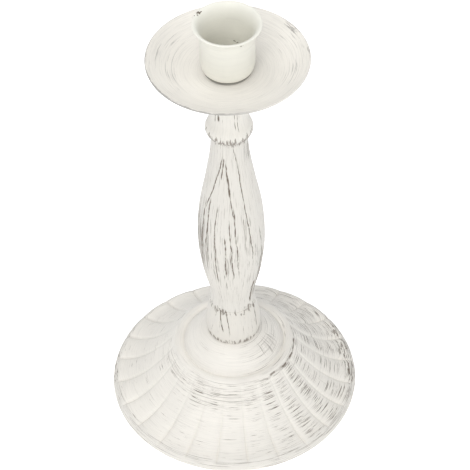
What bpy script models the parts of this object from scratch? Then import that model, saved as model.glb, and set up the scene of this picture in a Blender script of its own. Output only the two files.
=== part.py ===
"""Painted candlestick: a fluted foot, a bead, a baluster stem, a neck, a drip pan and a cup.

Turned pieces stack on one threaded rod. Each wooden piece has a spigot under it that seats in the
socket of the piece below. The origin is the centre of the circle that the foot stands on, +Z up.
"""

import math

import bmesh
import bpy

# --- Fits -------------------------------------------------------------------------------------
SEAT_GAP = 0.0003  # between two faces that rest on each other
SPIGOT_CLEARANCE = 0.0004  # round a spigot in its socket, and at the spigot's end
ROD_CLEARANCE = 0.0004  # round the rod in every hole that it passes

# --- Foot -------------------------------------------------------------------------------------
FOOT_RADIUS = 0.0579
FOOT_HEIGHT = 0.0372  # up to the seat of the lower bead
FOOT_SEAT_RADIUS = 0.0123
COLLAR_INNER_RADIUS = 0.0236
COLLAR_WIDTH = 0.0042
COLLAR_LEVEL = 0.0275
COLLAR_RISE = 0.0007
DOME_CROWN = 0.0012  # how far the dome stands proud of a straight cone
FLUTE_COUNT = 24
FLUTE_DEPTH = 0.0014  # of the groove between two lobes, at the rim end
FLUTE_START_SHARE = 0.3  # the groove's depth at the collar, as a share of that
FLUTE_SWEEP = 1.9  # exponent of the hollow curve from the collar down to the rim
FOOT_TURN = math.radians(5.5)  # the foot is fitted with this turn about the rod
RIM_HEIGHT = 0.0058
RIM_WIDTH = 0.0034
RIM_WIDEST_LEVEL = 0.0011
BASE_ROUND = 0.0006
REST_RING_WIDTH = 0.0075
RELIEF_DEPTH = 0.003
COUNTERBORE_RADIUS = 0.0105
COUNTERBORE_DEPTH = 0.0125

# --- Turned pieces above the foot: (share of height, radius) from the bottom up -----------------
LOWER_BEAD_HEIGHT = 0.0195
LOWER_BEAD_OUTLINE = [(0.0, 0.0121), (0.22, 0.01275), (0.5, 0.0123), (0.8, 0.0112), (1.0, 0.0102)]
STEM_HEIGHT = 0.1036
STEM_OUTLINE = [
    (0.0, 0.0104),
    (0.07, 0.0102),
    (0.205, 0.0131),
    (0.38, 0.0150),
    (0.575, 0.0141),
    (0.76, 0.0108),
    (0.89, 0.0087),
    (0.96, 0.0081),
    (1.0, 0.0080),
]
NECK_HEIGHT = 0.0343
NECK_OUTLINE = [
    (0.0, 0.0088),
    (0.04, 0.0099),
    (0.105, 0.0104),
    (0.17, 0.0098),
    (0.23, 0.0088),
    (0.30, 0.0081),
    (0.42, 0.0079),
    (0.65, 0.0087),
    (0.88, 0.0114),
    (1.0, 0.0130),
]
WIDE_SPIGOT_RADIUS = 0.0070
NARROW_SPIGOT_RADIUS = 0.0052
SPIGOT_LENGTH = 0.0035

# --- Pan and cup ------------------------------------------------------------------------------
PAN_RADIUS = 0.03465
PAN_DEPTH = 0.0065
PAN_WALL = 0.0009
PAN_FLOOR_RADIUS = 0.0135
PAN_SWEEP = 1.7
SPACER_RADIUS = 0.0075
SPACER_THICKNESS = 0.0009
CUP_HEIGHT = 0.0237
CUP_RADIUS = 0.0117
CUP_WALL = 0.0007
CUP_CORNER_WIDTH = 0.0016
CUP_CORNER_HEIGHT = 0.0065
CUP_FLARE_WIDTH = 0.00255  # how far the lip turns out
CUP_FLARE_HEIGHT = 0.0070  # how far below the lip it starts to

# --- Rod, nuts and washers --------------------------------------------------------------------
ROD_RADIUS = 0.0030
ROD_CHAMFER = 0.0005
ROD_SHOWS_ABOVE_NUT = 0.0006
ROD_SHOWS_BELOW_NUT = 0.0010
NUT_ACROSS_FLATS = 0.0100
NUT_CHAMFER_WIDTH = 0.0007
NUT_CHAMFER_HEIGHT = 0.0004
CUP_NUT_HEIGHT = 0.0032
FOOT_NUT_HEIGHT = 0.0050
CUP_WASHER_RADIUS = 0.0062
CUP_WASHER_THICKNESS = 0.0010
FOOT_WASHER_RADIUS = 0.0090
FOOT_WASHER_THICKNESS = 0.0012
LOCK_WASHER_RADIUS = 0.0059
LOCK_WASHER_THICKNESS = 0.0016
LOCK_WASHER_SLIT = 0.0009

# --- Mesh fineness ----------------------------------------------------------------------------
FLUTE_STEPS = 4
WOOD_STEPS = 32
METAL_STEPS = 40
HARDWARE_STEPS = 24
SMOOTH_ANGLE = math.radians(32)
WELD_DISTANCE = 1e-6

ROD_HOLE_RADIUS = ROD_RADIUS + ROD_CLEARANCE
SOCKET_DEPTH = SPIGOT_LENGTH + SPIGOT_CLEARANCE - SEAT_GAP


# --- Scene ------------------------------------------------------------------------------------
for old in list(bpy.data.objects):
    bpy.data.objects.remove(old, do_unlink=True)

parts = bpy.data.collections.new("candlestick")
cutters = bpy.data.collections.new("cutters")
for collection in (parts, cutters):
    bpy.context.scene.collection.children.link(collection)


def paint(name, colour, roughness, metallic):
    """A plain Principled material."""
    material = bpy.data.materials.new(name)
    material.use_nodes = True
    shader = material.node_tree.nodes["Principled BSDF"]
    shader.inputs["Base Color"].default_value = (*colour, 1.0)
    shader.inputs["Roughness"].default_value = roughness
    shader.inputs["Metallic"].default_value = metallic
    return material


# --- Outlines: lists of (radius, height), run down the outer side ---------------------------------
def arc(centre, radii, start, end, steps):
    """Points of an elliptical arc between two angles in degrees, 0 outwards and 90 up."""
    points = []
    for i in range(steps + 1):
        angle = math.radians(start + (end - start) * i / steps)
        points.append(
            (centre[0] + radii[0] * math.cos(angle), centre[1] + radii[1] * math.sin(angle))
        )
    return points


def turned_curve(outline, height, steps):
    """The smooth curve through an outline of (share, radius), from the top down."""
    ends = [outline[0], *outline, outline[-1]]
    points = []
    for before, start, end, after in zip(ends, ends[1:], ends[2:], ends[3:]):
        span = end[0] - start[0]
        leave = (end[1] - before[1]) / (end[0] - before[0]) * span
        arrive = (after[1] - start[1]) / (after[0] - start[0]) * span
        for i in range(steps):
            t = i / steps
            radius = (
                (2 * t**3 - 3 * t**2 + 1) * start[1]
                + (t**3 - 2 * t**2 + t) * leave
                + (3 * t**2 - 2 * t**3) * end[1]
                + (t**3 - t**2) * arrive
            )
            points.append((radius, (start[0] + span * t) * height))
    points.append((outline[-1][1], height))
    return points[::-1]


def bored(outer, bottom, top, spigot_radius=0.0, socket_radius=0.0):
    """Closes an outer side with a spigot below, a socket above and the rod's hole through both."""
    loop = list(outer)
    if spigot_radius:
        end = bottom - SPIGOT_LENGTH
        loop += [(spigot_radius, bottom), (spigot_radius, end), (ROD_HOLE_RADIUS, end)]
    else:
        loop.append((ROD_HOLE_RADIUS, bottom))
    if socket_radius:
        wall = socket_radius + SPIGOT_CLEARANCE
        floor = top - SOCKET_DEPTH
        loop += [(ROD_HOLE_RADIUS, floor), (wall, floor), (wall, top)]
    else:
        loop.append((ROD_HOLE_RADIUS, top))
    return loop


# --- Solids -----------------------------------------------------------------------------------
def shade(mesh):
    mesh.shade_smooth()
    mesh.set_sharp_from_angle(angle=SMOOTH_ANGLE)


def turned(name, loop, level, material, steps):
    """A closed outline turned about the rod, with its zero height at this level."""
    mesh = bpy.data.meshes.new(name)
    count = len(loop)
    mesh.from_pydata(
        [(radius, 0.0, height) for radius, height in loop],
        [(i, (i + 1) % count) for i in range(count)],
        [],
    )
    piece = bpy.data.objects.new(name, mesh)
    piece.location.z = level
    parts.objects.link(piece)
    turn = piece.modifiers.new("turn", "SCREW")
    turn.axis = "Z"
    turn.angle = math.tau
    turn.steps = turn.render_steps = steps
    turn.use_merge_vertices = True
    turn.merge_threshold = WELD_DISTANCE
    settle(piece, material)
    return piece


def settle(piece, material):
    """Replaces an object's mesh and modifiers by the shape they make."""
    bpy.context.view_layer.update()
    graph = bpy.context.evaluated_depsgraph_get()
    made = bpy.data.meshes.new_from_object(piece.evaluated_get(graph))
    made.name = piece.name
    piece.modifiers.clear()
    piece.data = made
    made.materials.clear()
    made.materials.append(material)
    shade(made)


def cutter(name, tool):
    """Names a tool and moves it into the cutters' collection."""
    tool.name = name
    for collection in list(tool.users_collection):
        collection.objects.unlink(tool)
    cutters.objects.link(tool)
    tool.hide_render = True
    tool.display_type = "WIRE"
    return tool


def combine(piece, tool, operation, material):
    step = piece.modifiers.new(operation.lower(), "BOOLEAN")
    step.operation = operation
    step.solver = "EXACT"
    step.object = tool
    settle(piece, material)


def washer(name, radius, thickness, level, material):
    loop = [
        (ROD_HOLE_RADIUS, thickness),
        (radius, thickness),
        (radius, 0.0),
        (ROD_HOLE_RADIUS, 0.0),
    ]
    return turned(name, loop, level, material, HARDWARE_STEPS)


def nut(name, height, level, material):
    """A hexagon nut: a turned blank with chamfered corners, cut to its flats."""
    corner = NUT_ACROSS_FLATS / math.sqrt(3)
    loop = [
        (ROD_HOLE_RADIUS, height),
        (corner - NUT_CHAMFER_WIDTH, height),
        (corner, height - NUT_CHAMFER_HEIGHT),
        (corner, NUT_CHAMFER_HEIGHT),
        (corner - NUT_CHAMFER_WIDTH, 0.0),
        (ROD_HOLE_RADIUS, 0.0),
    ]
    piece = turned(name, loop, level, material, HARDWARE_STEPS)
    bpy.ops.mesh.primitive_cylinder_add(
        vertices=6, radius=corner, depth=height * 2, location=(0.0, 0.0, level + height / 2)
    )
    flats = cutter(name + "_flats", bpy.context.object)
    combine(piece, flats, "INTERSECT", material)
    return piece


# --- Foot -------------------------------------------------------------------------------------
FLUTES_START = COLLAR_INNER_RADIUS + COLLAR_WIDTH
FLUTES_END = FOOT_RADIUS - RIM_WIDTH


def flute_level(radius):
    """Height of a flute's crest at this radius."""
    left = (FLUTES_END - radius) / (FLUTES_END - FLUTES_START)
    return RIM_HEIGHT + (COLLAR_LEVEL - RIM_HEIGHT) * left**FLUTE_SWEEP


def dome_side(steps):
    """From the seat of the lower bead down to the collar."""
    points = []
    for i in range(steps + 1):
        t = i / steps
        radius = FOOT_SEAT_RADIUS + (COLLAR_INNER_RADIUS - FOOT_SEAT_RADIUS) * t
        straight = FOOT_HEIGHT + (COLLAR_LEVEL - FOOT_HEIGHT) * t
        points.append((radius, straight + DOME_CROWN * math.sin(math.pi * t)))
    return points


def foot_outline():
    collar_middle = COLLAR_INNER_RADIUS + COLLAR_WIDTH / 2
    collar = arc((collar_middle, COLLAR_LEVEL), (COLLAR_WIDTH / 2, COLLAR_RISE), 180, 0, 4)
    sweep_steps = 8
    sweep = []
    for i in range(1, sweep_steps):
        radius = FLUTES_START + (FLUTES_END - FLUTES_START) * i / sweep_steps
        sweep.append((radius, flute_level(radius)))
    rim_rise = RIM_HEIGHT - RIM_WIDEST_LEVEL
    rim = arc((FLUTES_END, RIM_WIDEST_LEVEL), (RIM_WIDTH, rim_rise), 90, 0, 4)
    rest_outer = FOOT_RADIUS - BASE_ROUND
    rest_inner = rest_outer - REST_RING_WIDTH
    socket = WIDE_SPIGOT_RADIUS + SPIGOT_CLEARANCE
    socket_floor = FOOT_HEIGHT - SOCKET_DEPTH
    return [
        *dome_side(4),
        *collar[1:],
        *sweep,
        *rim,
        (rest_outer, 0.0),
        (rest_inner, 0.0),
        (rest_inner, RELIEF_DEPTH),
        (COUNTERBORE_RADIUS, RELIEF_DEPTH),
        (COUNTERBORE_RADIUS, COUNTERBORE_DEPTH),
        (ROD_HOLE_RADIUS, COUNTERBORE_DEPTH),
        (ROD_HOLE_RADIUS, socket_floor),
        (socket, socket_floor),
        (socket, FOOT_HEIGHT),
    ]


def groove_depth(radius, height):
    """How deep the grooves are at a point of the foot's upper side, and 0 elsewhere."""
    above_rim = (height - RIM_WIDEST_LEVEL) / (RIM_HEIGHT - RIM_WIDEST_LEVEL)
    if radius < FLUTES_START + WELD_DISTANCE or above_rim <= 0:
        return 0.0
    along = min((radius - FLUTES_START) / (FLUTES_END - FLUTES_START), 1.0)
    depth = FLUTE_DEPTH * (FLUTE_START_SHARE + (1 - FLUTE_START_SHARE) * along)
    return depth * min(above_rim, 1.0) ** 2


def fluted_foot(material):
    outline = foot_outline()
    shape = bmesh.new()
    points = [shape.verts.new((radius, 0.0, height)) for radius, height in outline]
    sides = [shape.edges.new(pair) for pair in zip(points, points[1:] + points[:1])]
    bmesh.ops.spin(
        shape,
        geom=points + sides,
        cent=(0.0, 0.0, 0.0),
        axis=(0.0, 0.0, 1.0),
        angle=math.tau,
        steps=FLUTE_COUNT * FLUTE_STEPS,
        use_merge=True,
    )
    for point in shape.verts:
        radius = math.hypot(point.co.x, point.co.y)
        turns = math.atan2(point.co.y, point.co.x) / math.tau * FLUTE_COUNT
        from_groove = turns - math.floor(turns)
        from_crest = abs(2 * from_groove - 1)
        point.co.z -= groove_depth(radius, point.co.z) * from_crest**2
    bmesh.ops.recalc_face_normals(shape, faces=shape.faces)
    mesh = bpy.data.meshes.new("fluted_foot")
    shape.to_mesh(mesh)
    shape.free()
    mesh.materials.append(material)
    shade(mesh)
    foot = bpy.data.objects.new("fluted_foot", mesh)
    foot.rotation_euler.z = FOOT_TURN
    parts.objects.link(foot)


# --- Pan and cup ------------------------------------------------------------------------------
def pan_outline():
    """A dish of even thickness with a round edge, its underside at height 0."""
    steps = 7
    upper = []
    for i in range(steps + 1):
        share = 1 - i / steps
        radius = PAN_FLOOR_RADIUS + (PAN_RADIUS - PAN_WALL / 2 - PAN_FLOOR_RADIUS) * share
        upper.append((radius, PAN_WALL + PAN_DEPTH * share**PAN_SWEEP))
    lower = [(radius, height - PAN_WALL) for radius, height in reversed(upper)]
    edge_radius, edge_top = upper[0]
    edge = arc((edge_radius, edge_top - PAN_WALL / 2), (PAN_WALL / 2, PAN_WALL / 2), 60, -60, 2)
    return [*reversed(upper), *edge, *reversed(lower), (ROD_HOLE_RADIUS, 0.0),
            (ROD_HOLE_RADIUS, PAN_WALL)]


def cup_outline():
    """A drawn cup, rounded in at the bottom and with a lip turned out, its underside at height 0."""
    lip = CUP_RADIUS + CUP_FLARE_WIDTH
    flare_centre = (lip, CUP_HEIGHT - CUP_WALL - CUP_FLARE_HEIGHT)
    flare = (CUP_FLARE_WIDTH, CUP_FLARE_HEIGHT)
    inner_flare = (CUP_FLARE_WIDTH + CUP_WALL, CUP_FLARE_HEIGHT + CUP_WALL)
    corner = (CUP_RADIUS - CUP_CORNER_WIDTH, CUP_CORNER_HEIGHT)
    inner_corner = (CUP_CORNER_WIDTH - CUP_WALL, CUP_CORNER_HEIGHT - CUP_WALL)
    return [
        *arc(flare_centre, inner_flare, 180, 90, 6),
        *arc((lip, CUP_HEIGHT - CUP_WALL / 2), (CUP_WALL / 2, CUP_WALL / 2), 45, -45, 2),
        *arc(flare_centre, flare, 90, 180, 6),
        *arc(corner, (CUP_CORNER_WIDTH, CUP_CORNER_HEIGHT), 0, -90, 5),
        (ROD_HOLE_RADIUS, 0.0),
        (ROD_HOLE_RADIUS, CUP_WALL),
        *arc(corner, inner_corner, -90, 0, 5),
    ]


# --- Assembly, from the floor up ----------------------------------------------------------------
cream_wood = paint("cream_paint_on_wood", (0.80, 0.76, 0.66), 0.55, 0.0)
cream_metal = paint("cream_paint_on_metal", (0.82, 0.78, 0.67), 0.42, 0.0)
zinc = paint("zinc_plated_steel", (0.62, 0.62, 0.60), 0.35, 1.0)

fluted_foot(cream_wood)

level = FOOT_HEIGHT + SEAT_GAP
turned(
    "lower_bead",
    bored(
        turned_curve(LOWER_BEAD_OUTLINE, LOWER_BEAD_HEIGHT, 3),
        0.0,
        LOWER_BEAD_HEIGHT,
        WIDE_SPIGOT_RADIUS,
        WIDE_SPIGOT_RADIUS,
    ),
    level,
    cream_wood,
    WOOD_STEPS,
)

level += LOWER_BEAD_HEIGHT + SEAT_GAP
turned(
    "stem",
    bored(
        turned_curve(STEM_OUTLINE, STEM_HEIGHT, 3),
        0.0,
        STEM_HEIGHT,
        WIDE_SPIGOT_RADIUS,
        NARROW_SPIGOT_RADIUS,
    ),
    level,
    cream_wood,
    WOOD_STEPS,
)

level += STEM_HEIGHT + SEAT_GAP
turned(
    "pan_neck",
    bored(
        turned_curve(NECK_OUTLINE, NECK_HEIGHT, 3), 0.0, NECK_HEIGHT, NARROW_SPIGOT_RADIUS
    ),
    level,
    cream_wood,
    WOOD_STEPS,
)

level += NECK_HEIGHT + SEAT_GAP
turned("drip_pan", pan_outline(), level, cream_metal, METAL_STEPS)

level += PAN_WALL + SEAT_GAP
washer("cup_spacer", SPACER_RADIUS, SPACER_THICKNESS, level, cream_metal)

level += SPACER_THICKNESS + SEAT_GAP
turned("candle_cup", cup_outline(), level, cream_metal, METAL_STEPS)

level += CUP_WALL + SEAT_GAP
washer("cup_washer", CUP_WASHER_RADIUS, CUP_WASHER_THICKNESS, level, zinc)

level += CUP_WASHER_THICKNESS + SEAT_GAP
nut("cup_nut", CUP_NUT_HEIGHT, level, zinc)
rod_top = level + CUP_NUT_HEIGHT + ROD_SHOWS_ABOVE_NUT

level = COUNTERBORE_DEPTH - SEAT_GAP - FOOT_WASHER_THICKNESS
washer("foot_washer", FOOT_WASHER_RADIUS, FOOT_WASHER_THICKNESS, level, zinc)

level -= SEAT_GAP + LOCK_WASHER_THICKNESS
lock = washer("foot_lock_washer", LOCK_WASHER_RADIUS, LOCK_WASHER_THICKNESS, level, zinc)
bpy.ops.mesh.primitive_cube_add(
    size=1.0,
    location=(LOCK_WASHER_RADIUS, 0.0, level + LOCK_WASHER_THICKNESS / 2),
    scale=(LOCK_WASHER_RADIUS * 2, LOCK_WASHER_SLIT, LOCK_WASHER_THICKNESS * 2),
)
combine(lock, cutter("lock_washer_slit", bpy.context.object), "DIFFERENCE", zinc)

level -= SEAT_GAP + FOOT_NUT_HEIGHT
nut("foot_nut", FOOT_NUT_HEIGHT, level, zinc)
rod_bottom = level - ROD_SHOWS_BELOW_NUT

rod_length = rod_top - rod_bottom
turned(
    "tie_rod",
    [
        (0.0, rod_length),
        (ROD_RADIUS - ROD_CHAMFER, rod_length),
        (ROD_RADIUS, rod_length - ROD_CHAMFER),
        (ROD_RADIUS, ROD_CHAMFER),
        (ROD_RADIUS - ROD_CHAMFER, 0.0),
        (0.0, 0.0),
    ],
    rod_bottom,
    zinc,
    HARDWARE_STEPS,
)
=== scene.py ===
import math

import bmesh
import bpy
from mathutils import Matrix, Vector


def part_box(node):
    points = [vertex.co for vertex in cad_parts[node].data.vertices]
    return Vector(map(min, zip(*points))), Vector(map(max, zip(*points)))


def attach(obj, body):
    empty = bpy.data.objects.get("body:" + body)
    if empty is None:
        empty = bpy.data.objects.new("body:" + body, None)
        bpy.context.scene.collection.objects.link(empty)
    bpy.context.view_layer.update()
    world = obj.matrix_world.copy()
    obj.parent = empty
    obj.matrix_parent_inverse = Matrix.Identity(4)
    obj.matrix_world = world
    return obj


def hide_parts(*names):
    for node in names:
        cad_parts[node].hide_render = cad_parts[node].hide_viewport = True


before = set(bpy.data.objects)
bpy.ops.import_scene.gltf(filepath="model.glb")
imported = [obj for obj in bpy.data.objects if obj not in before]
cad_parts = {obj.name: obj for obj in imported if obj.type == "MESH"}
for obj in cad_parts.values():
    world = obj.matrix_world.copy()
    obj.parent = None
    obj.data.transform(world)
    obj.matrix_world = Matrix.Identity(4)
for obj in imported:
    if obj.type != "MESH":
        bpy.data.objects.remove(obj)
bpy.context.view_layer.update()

# --- Studio -----------------------------------------------------------------------------------
# A camera that looks down at the candlestick from the front, a pale table, a wide soft box above
# the front left, weaker ones overhead and at the right, and even light from all round.
camera_data = bpy.data.cameras.new("camera")
camera_data.lens = 171.23
camera_data.sensor_width = 36.0
camera_data.clip_start = 0.01
camera = bpy.data.objects.new("camera", camera_data)
bpy.context.scene.collection.objects.link(camera)
bpy.context.scene.camera = camera
camera_place = Vector((0.0, -0.69986, 0.81722))
look_down = math.radians(45.80)
look_right = math.radians(0.131)
camera_lean = math.radians(-1.132)
forward = Vector(
    (
        math.sin(look_right) * math.cos(look_down),
        math.cos(look_right) * math.cos(look_down),
        -math.sin(look_down),
    )
)
level_right = Vector((math.cos(look_right), -math.sin(look_right), 0.0))
level_up = level_right.cross(forward)
right = level_right * math.cos(camera_lean) + level_up * math.sin(camera_lean)
up = right.cross(forward)
camera.matrix_world = (
    Matrix.Translation(camera_place) @ Matrix((right, up, -forward)).transposed().to_4x4()
)
bpy.context.scene.view_settings.view_transform = "Standard"

table_shape = bmesh.new()
bmesh.ops.create_grid(table_shape, x_segments=1, y_segments=1, size=3.0)
table_mesh = bpy.data.meshes.new("table")
table_shape.to_mesh(table_mesh)
table_shape.free()
table = bpy.data.objects.new("table", table_mesh)
bpy.context.scene.collection.objects.link(table)
table_paint = bpy.data.materials.new("white_table")
table_paint.use_nodes = True
table_shader = table_paint.node_tree.nodes["Principled BSDF"]
table_shader.inputs["Base Color"].default_value = (0.95, 0.95, 0.95, 1.0)
table_shader.inputs["Roughness"].default_value = 0.9
table_shader.inputs["Specular IOR Level"].default_value = 0.0
table_shader.inputs["Emission Color"].default_value = (1.0, 1.0, 1.0, 1.0)
table_shader.inputs["Emission Strength"].default_value = 0.4
table_mesh.materials.append(table_paint)


def soft_box(name, place, aim, size, power, colour):
    """A square studio light at a place, turned to shine at a point."""
    light = bpy.data.lights.new(name, "AREA")
    light.shape = "SQUARE"
    light.size = size
    light.energy = power
    light.color = colour
    lamp = bpy.data.objects.new(name, light)
    lamp.location = place
    lamp.rotation_euler = (Vector(aim) - Vector(place)).to_track_quat("-Z", "Y").to_euler()
    bpy.context.scene.collection.objects.link(lamp)


soft_box("key_soft_box", (-0.30, -1.30, 1.50), (0.0, 0.0, 0.08), 1.0, 15.0, (1.0, 0.99, 0.965))
soft_box("top_soft_box", (-0.40, 0.10, 1.80), (0.0, 0.0, 0.08), 1.0, 7.0, (1.0, 0.99, 0.97))
soft_box("right_soft_box", (1.3, -0.5, 1.1), (0.0, 0.0, 0.08), 0.9, 4.0, (1.0, 0.99, 0.97))

room = bpy.data.worlds.new("room")
bpy.context.scene.world = room
room.use_nodes = True
room_light = room.node_tree.nodes["Background"]
room_light.inputs["Color"].default_value = (0.95, 0.975, 1.0, 1.0)
room_light.inputs["Strength"].default_value = 0.52

# --- Foot -------------------------------------------------------------------------------------
# The foot is one turned piece of wood, raised to a dome in the middle and carved with 24 flutes
# that run out from a raised collar to a plain rolled rim. It stands on a flat ring under the rim.
# A counterbore below takes the rod's nut, and a socket above takes the lower bead's spigot.
foot_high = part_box("fluted_foot")[1]
foot_radius = foot_high.x
foot_height = foot_high.z
foot_turn = math.radians(5.5)
dome_top_radius = 0.0123
dome_crown = 0.0012
collar_inner = 0.0236
collar_outer = 0.0278
collar_level = 0.0275
collar_rise = 0.0007
flute_count = 24
flute_depth = 0.0014
rim_start = foot_radius - 0.0034
rim_height = 0.0058
rim_widest_level = 0.0011
slope_power = 1.9
rest_outer = foot_radius - 0.0004
rest_inner = foot_radius - 0.0081
rest_ease = 0.0005
recess_roof = 0.003
counterbore_radius = 0.0105
counterbore_roof = 0.0125
rod_hole = 0.0034
wide_socket = 0.0074
socket_depth = 0.0036


def groove_depth(radius, height):
    """How far the groove between two flutes lies below the flutes' crests."""
    above_rim = (height - rim_widest_level) / (rim_height - rim_widest_level)
    if radius <= collar_outer or above_rim <= 0.0:
        return 0.0
    along = min((radius - collar_outer) / (rim_start - collar_outer), 1.0)
    return flute_depth * (0.3 + 0.7 * along) * min(above_rim, 1.0) ** 2


def spin_shape(outline, steps):
    """A closed outline of (radius, height) points spun a full turn about the rod's axis."""
    shape = bmesh.new()
    points = [shape.verts.new((radius, 0.0, height)) for radius, height in outline]
    sides = [shape.edges.new(pair) for pair in zip(points, points[1:] + points[:1])]
    bmesh.ops.spin(
        shape,
        geom=points + sides,
        cent=(0.0, 0.0, 0.0),
        axis=(0.0, 0.0, 1.0),
        angle=math.tau,
        steps=steps,
        use_merge=True,
    )
    bmesh.ops.remove_doubles(shape, verts=shape.verts, dist=1e-6)
    bmesh.ops.recalc_face_normals(shape, faces=shape.faces)
    return shape


def finish_piece(shape, name, node, crease_angle=32.0):
    """Makes the shape an object that stands for its CAD node and rides with it."""
    mesh = bpy.data.meshes.new(name)
    shape.to_mesh(mesh)
    shape.free()
    mesh.shade_smooth()
    mesh.set_sharp_from_angle(angle=math.radians(crease_angle))
    piece = bpy.data.objects.new(name, mesh)
    bpy.context.scene.collection.objects.link(piece)
    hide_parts(node)
    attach(piece, "root")
    return piece


def round_corner(before, corner, after, reach, steps=4):
    """Points that round off a corner of an outline, from a reach before it to a reach after."""
    before, corner, after = Vector(before), Vector(corner), Vector(after)
    start = corner + (before - corner).normalized() * reach
    end = corner + (after - corner).normalized() * reach
    points = []
    for i in range(steps + 1):
        t = i / steps
        points.append(tuple(start * (1 - t) ** 2 + corner * (2 * t * (1 - t)) + end * t * t))
    return points


foot_outline = []
for i in range(15):
    t = i / 15
    foot_outline.append(
        (
            dome_top_radius + (collar_inner - dome_top_radius) * t,
            foot_height + (collar_level - foot_height) * t + dome_crown * math.sin(math.pi * t),
        )
    )
for i in range(11):
    t = i / 11
    foot_outline.append(
        (
            collar_inner + (collar_outer - collar_inner) * t,
            collar_level + collar_rise * math.sin(math.pi * t),
        )
    )
for i in range(32):
    t = i / 32
    foot_outline.append(
        (
            collar_outer + (rim_start - collar_outer) * t,
            rim_height + (collar_level - rim_height) * (1 - t) ** slope_power,
        )
    )
for i in range(15):
    turn = math.radians(90 - 90 * i / 14)
    foot_outline.append(
        (
            rim_start + (foot_radius - rim_start) * math.cos(turn),
            rim_widest_level + (rim_height - rim_widest_level) * math.sin(turn),
        )
    )
foot_outline += round_corner(
    (foot_radius, rim_widest_level), (rest_outer, 0.0), (rest_inner, 0.0), rest_ease
)
foot_outline += round_corner(
    (rest_outer, 0.0), (rest_inner, 0.0), (rest_inner, recess_roof), rest_ease
)
foot_outline += [
    (rest_inner, recess_roof),
    (counterbore_radius, recess_roof),
    (counterbore_radius, counterbore_roof),
    (rod_hole, counterbore_roof),
    (rod_hole, foot_height - socket_depth),
    (wide_socket, foot_height - socket_depth),
    (wide_socket, foot_height),
]
steps_per_flute = 16
crowding = 0.09
foot_shape = spin_shape(foot_outline, flute_count * steps_per_flute)
for point in foot_shape.verts:
    radius = math.hypot(point.co.x, point.co.y)
    flutes_round = math.atan2(point.co.y, point.co.x) / math.tau * flute_count
    across = flutes_round - math.floor(flutes_round)
    from_crest = abs(2 * across - 1)
    # A flute is evenly rounded, and falls a little faster just before the groove.
    groove = 0.90 * from_crest**2 + 0.10 * from_crest**10
    point.co.z -= groove_depth(radius, point.co.z) * groove
    # Crowds the points towards the grooves, so that each groove is crisp.
    crowded = across - crowding * math.sin(math.tau * across)
    turn = (math.floor(flutes_round) + crowded) / flute_count * math.tau + foot_turn
    point.co.x, point.co.y = radius * math.cos(turn), radius * math.sin(turn)
foot = finish_piece(foot_shape, "painted_foot", "fluted_foot")


# The paint: dark brown under brushed cream, rubbed through in thin strokes. These first helpers
# wire up nodes, and the groups after them are the effects that every painted piece shares.
def feed(tree, socket, value):
    """Links a socket to another node's output, or sets it to a plain value."""
    if isinstance(value, bpy.types.NodeSocket):
        tree.links.new(value, socket)
    else:
        socket.default_value = value


def work(tree, operation, *values, clamp=False):
    """A Math node fed by outputs or numbers."""
    node = tree.nodes.new("ShaderNodeMath")
    node.operation = operation
    node.use_clamp = clamp
    for socket, value in zip(node.inputs, values):
        feed(tree, socket, value)
    return node.outputs[0]


def work_vector(tree, operation, *values):
    """A Vector Math node fed by outputs or vectors."""
    node = tree.nodes.new("ShaderNodeVectorMath")
    node.operation = operation
    for socket, value in zip(node.inputs, values):
        feed(tree, socket, value)
    return node.outputs["Value" if operation == "LENGTH" else "Vector"]


def scaled(tree, vector, factor):
    """A vector times one number."""
    node = tree.nodes.new("ShaderNodeVectorMath")
    node.operation = "SCALE"
    feed(tree, node.inputs["Vector"], vector)
    feed(tree, node.inputs["Scale"], factor)
    return node.outputs["Vector"]


def combined(tree, x, y, z):
    """A vector from three values."""
    node = tree.nodes.new("ShaderNodeCombineXYZ")
    for socket, value in zip(node.inputs, (x, y, z)):
        feed(tree, socket, value)
    return node.outputs[0]


def smooth_step(tree, value, low, high, low_out=0.0, high_out=1.0):
    """A value eased from one output to another between two limits."""
    node = tree.nodes.new("ShaderNodeMapRange")
    node.interpolation_type = "SMOOTHSTEP"
    for name, number in (
        ("Value", value),
        ("From Min", low),
        ("From Max", high),
        ("To Min", low_out),
        ("To Max", high_out),
    ):
        feed(tree, node.inputs[name], number)
    return node.outputs["Result"]


def speckle(tree, vector, scale=1.0, detail=2.0, roughness=0.5, distortion=0.0):
    """Noise from 0 to 1 that varies smoothly through space."""
    node = tree.nodes.new("ShaderNodeTexNoise")
    feed(tree, node.inputs["Vector"], vector)
    node.inputs["Scale"].default_value = scale
    node.inputs["Detail"].default_value = detail
    node.inputs["Roughness"].default_value = roughness
    node.inputs["Distortion"].default_value = distortion
    return node.outputs["Fac"]


def blend_colour(tree, share, first, second):
    """One colour laid over another."""
    node = tree.nodes.new("ShaderNodeMix")
    node.data_type = "RGBA"
    feed(tree, node.inputs["Factor"], share)
    feed(tree, node.inputs["A"], first)
    feed(tree, node.inputs["B"], second)
    return node.outputs["Result"]


def start_group(name, inputs, outputs):
    """An empty node group with named sockets, its entry's outputs and its exit's inputs."""
    group = bpy.data.node_groups.new(name, "ShaderNodeTree")
    for socket_name, kind, value in inputs:
        socket = group.interface.new_socket(
            name=socket_name, in_out="INPUT", socket_type="NodeSocket" + kind
        )
        if value is not None:
            socket.default_value = value
    for socket_name, kind in outputs:
        group.interface.new_socket(
            name=socket_name, in_out="OUTPUT", socket_type="NodeSocket" + kind
        )
    entry = group.nodes.new("NodeGroupInput")
    leave = group.nodes.new("NodeGroupOutput")
    return group, entry.outputs, leave.inputs


def place_group(tree, group, **values):
    """A group in a material, with its inputs fed; spaces in their names are underscores."""
    node = tree.nodes.new("ShaderNodeGroup")
    node.node_tree = group
    for name, value in values.items():
        feed(tree, node.inputs[name.replace("_", " ")], value)
    return node.outputs


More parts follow.
